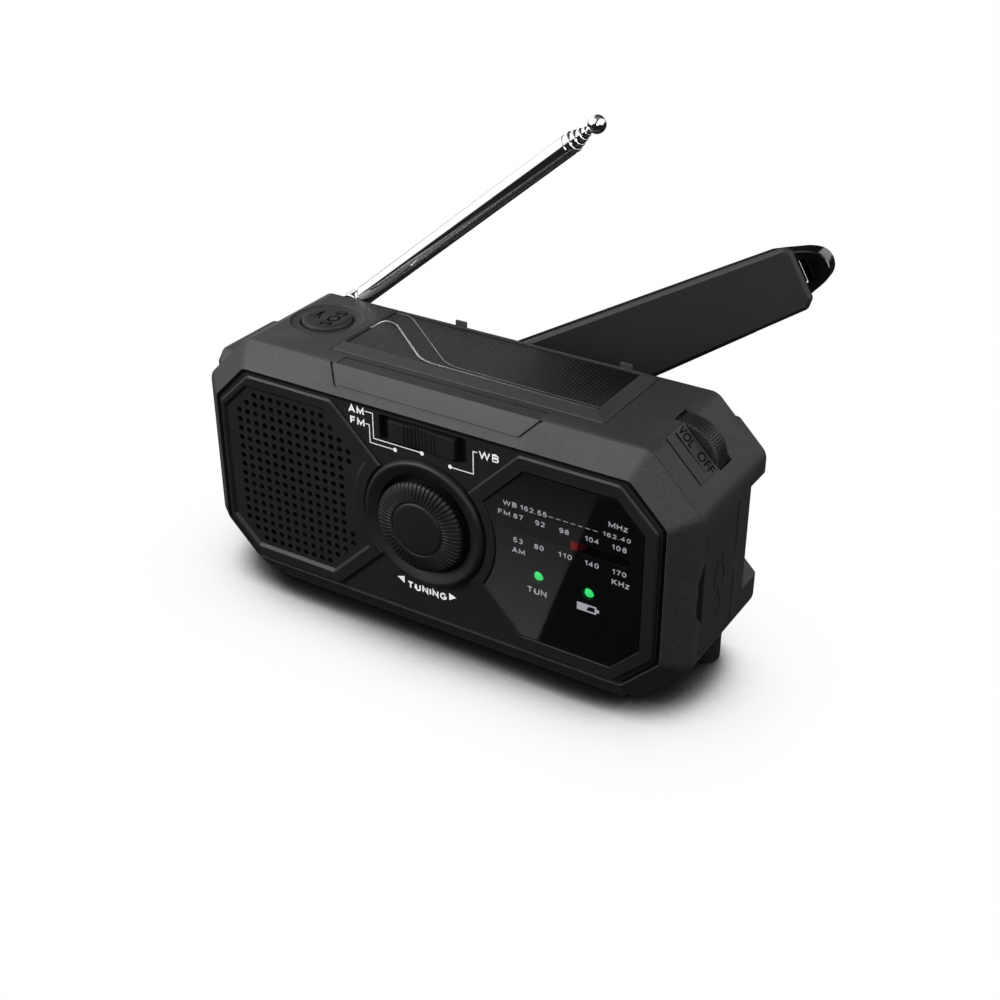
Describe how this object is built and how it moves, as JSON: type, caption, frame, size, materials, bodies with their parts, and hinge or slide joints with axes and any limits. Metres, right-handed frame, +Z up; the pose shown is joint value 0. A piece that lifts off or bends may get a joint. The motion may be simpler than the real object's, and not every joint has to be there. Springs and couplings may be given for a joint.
{
  "type": "emergency radio",
  "caption": "Octagonal hand-crank camping radio: loudspeaker grille, tuning knob and dial, band switch, solar top, torch, telescopic antenna and folding rear crank.",
  "frame": {"origin": "middle of the front foot strip's rest face, on the ground plane", "axes": "+X to the right along the front panel, +Y from the front to the back, +Z up"},
  "size_m": [0.1673, 0.0828, 0.1482],
  "materials": {
    "battery": "shrink-wrapped cell",
    "board": "green soldermask on glass-fibre board",
    "brass": "turned brass",
    "case": "fine grained charcoal ABS",
    "chrome": "bright chrome plate",
    "clear": "smoked clear acrylic",
    "copper": "enamelled copper wire",
    "ferrite": "dark sintered ferrite",
    "gloss": "polished black ABS",
    "green": "green lamp lens",
    "mirror": "vacuum-metallised reflector",
    "nylon": "natural nylon",
    "panel": "fine satin black ABS with white printing",
    "paper": "pressed black paper cone",
    "red": "red plastic",
    "rubber": "matte black rubber",
    "solar": "dark solar cells under a clear resin face",
    "steel": "plain steel"
  },
  "bodies": {
    "case": {"antenna_coil": "copper", "antenna_stud": "steel", "band_switch_body": "steel", "battery_pack": "battery", "charge_socket": "steel", "dial_cord": "nylon", "dial_plate": "gloss", "dial_window": "clear", "dynamo": "steel", "ferrite_rod": "ferrite", "front_foot": "rubber", "front_panel": "panel", "front_shell": "case", "hub_bushing": "brass", "knob_ring": "panel", "led_battery": "green", "led_tuning": "green", "main_pcb": "board", "rear_foot_left": "rubber", "rear_foot_right": "rubber", "rear_shell": "case", "solar_frame": "case", "solar_panel": "solar", "sos_switch": "steel", "speaker_basket": "steel", "speaker_cone": "paper", "speaker_grille": "panel", "speaker_magnet": "ferrite", "torch_bezel": "case", "torch_lens": "clear", "torch_reflector": "mirror", "tuning_capacitor": "nylon", "usb_socket": "steel", "volume_pot": "steel"},
    "tuning": {"tuning_knob": "panel", "knob_shaft": "steel", "dial_drum": "nylon"},
    "pointer": {"dial_pointer": "red"},
    "pulley_left": {"cord_pulley_left": "nylon"},
    "pulley_right": {"cord_pulley_right": "nylon"},
    "band_switch": {"band_switch_slider": "panel"},
    "volume": {"volume_wheel": "panel"},
    "sos": {"sos_button": "case"},
    "port_flap": {"port_cover": "rubber"},
    "door": {"battery_door": "case"},
    "crank": {"crank_hub": "gloss", "crank_gear": "nylon", "hinge_pin": "steel"},
    "dynamo_rotor": {"dynamo_pinion": "brass"},
    "arm": {"crank_arm": "gloss", "crank_cover": "case", "grip_pin": "steel"},
    "grip_pivot": {"grip_stem": "gloss"},
    "grip": {"crank_grip": "panel"},
    "antenna": {"antenna_knuckle": "chrome", "antenna_tube_1": "chrome"},
    "antenna_2": {"antenna_tube_2": "chrome"},
    "antenna_3": {"antenna_tube_3": "chrome"},
    "antenna_4": {"antenna_tube_4": "chrome"},
    "antenna_end": {"antenna_tip": "chrome"}
  },
  "joints": [
    {"name": "tuning_turn", "type": "hinge", "parent": "case", "child": "tuning", "pos_m": [0, -0.012, 0.042], "axis": [0, 1, 0], "range_deg": [-149, 92]},
    {"name": "pointer_slide", "type": "slide", "parent": "case", "child": "pointer", "axis": [1, 0, 0], "range_m": [-0.02, 0.0124]},
    {"name": "pulley_left_turn", "type": "hinge", "parent": "case", "child": "pulley_left", "pos_m": [0.024, -0.0057, 0.04695], "axis": [0, 1, 0], "range_deg": [-346, 214]},
    {"name": "pulley_right_turn", "type": "hinge", "parent": "case", "child": "pulley_right", "pos_m": [0.066, -0.0057, 0.04695], "axis": [0, 1, 0], "range_deg": [-346, 214]},
    {"name": "band_switch_slide", "type": "slide", "parent": "case", "child": "band_switch", "axis": [1, 0, 0], "range_m": [-0.003, 0.003]},
    {"name": "volume_turn", "type": "hinge", "parent": "case", "child": "volume", "pos_m": [0.0652, 0.016, 0.07], "axis": [0, 1, 0], "range_deg": [-140, 140]},
    {"name": "sos_press", "type": "slide", "parent": "case", "child": "sos", "axis": [0, 0, -1], "range_m": [0, 0.0009], "stiffness_N_per_m": 900, "springref_m": -0.0006},
    {"name": "port_flap_open", "type": "hinge", "parent": "case", "child": "port_flap", "pos_m": [0.08, 0.0176, 0.03975], "axis": [0, 0, 1], "range_deg": [0, 110]},
    {"name": "battery_door_open", "type": "hinge", "parent": "case", "child": "door", "pos_m": [0.025, 0.022, 0.0036], "axis": [1, 0, 0], "range_deg": [0, 95]},
    {"name": "crank_turn", "type": "hinge", "parent": "case", "child": "crank", "pos_m": [-0.0281, 0.024, 0.045], "axis": [0, 1, 0], "continuous": true},
    {"name": "dynamo_turn", "type": "hinge", "parent": "case", "child": "dynamo_rotor", "pos_m": [-0.02126, 0.016, 0.02621], "axis": [0, 1, 0], "continuous": true},
    {"name": "arm_fold", "type": "hinge", "parent": "crank", "child": "arm", "pos_m": [-0.01683, 0.03604, 0.05168], "axis": [-0.5098, 0, 0.8603], "range_deg": [0, 145]},
    {"name": "grip_fold", "type": "hinge", "parent": "arm", "child": "grip_pivot", "pos_m": [0.07206, 0.06045, 0.10436], "axis": [0.5098, 0, -0.8603], "range_deg": [0, 90]},
    {"name": "grip_spin", "type": "hinge", "parent": "grip_pivot", "child": "grip", "pos_m": [0.07206, 0.06045, 0.10436], "axis": [-0.8472, -0.1737, -0.5021], "continuous": true},
    {"name": "antenna_swing", "type": "hinge", "parent": "case", "child": "antenna", "pos_m": [-0.0576, 0.0362, 0.0775], "axis": [0, 1, 0], "range_deg": [-100, 39.8]},
    {"name": "antenna_slide_2", "type": "slide", "parent": "antenna", "child": "antenna_2", "axis": [0.7683, 0, 0.6401], "range_m": [0, 0.078]},
    {"name": "antenna_slide_3", "type": "slide", "parent": "antenna_2", "child": "antenna_3", "axis": [0.7683, 0, 0.6401], "range_m": [0, 0.078]},
    {"name": "antenna_slide_4", "type": "slide", "parent": "antenna_3", "child": "antenna_4", "axis": [0.7683, 0, 0.6401], "range_m": [0, 0.078]},
    {"name": "antenna_slide_end", "type": "slide", "parent": "antenna_4", "child": "antenna_end", "axis": [0.7683, 0, 0.6401], "range_m": [0, 0.078]}
  ],
  "couplings": [
    {"joint": "pointer_slide", "follows": "tuning_turn", "m_per_rad": 0.00765},
    {"joint": "pulley_left_turn", "follows": "tuning_turn", "ratio": 2.318},
    {"joint": "pulley_right_turn", "follows": "tuning_turn", "ratio": 2.318},
    {"joint": "dynamo_turn", "follows": "crank_turn", "ratio": -4}
  ]
}
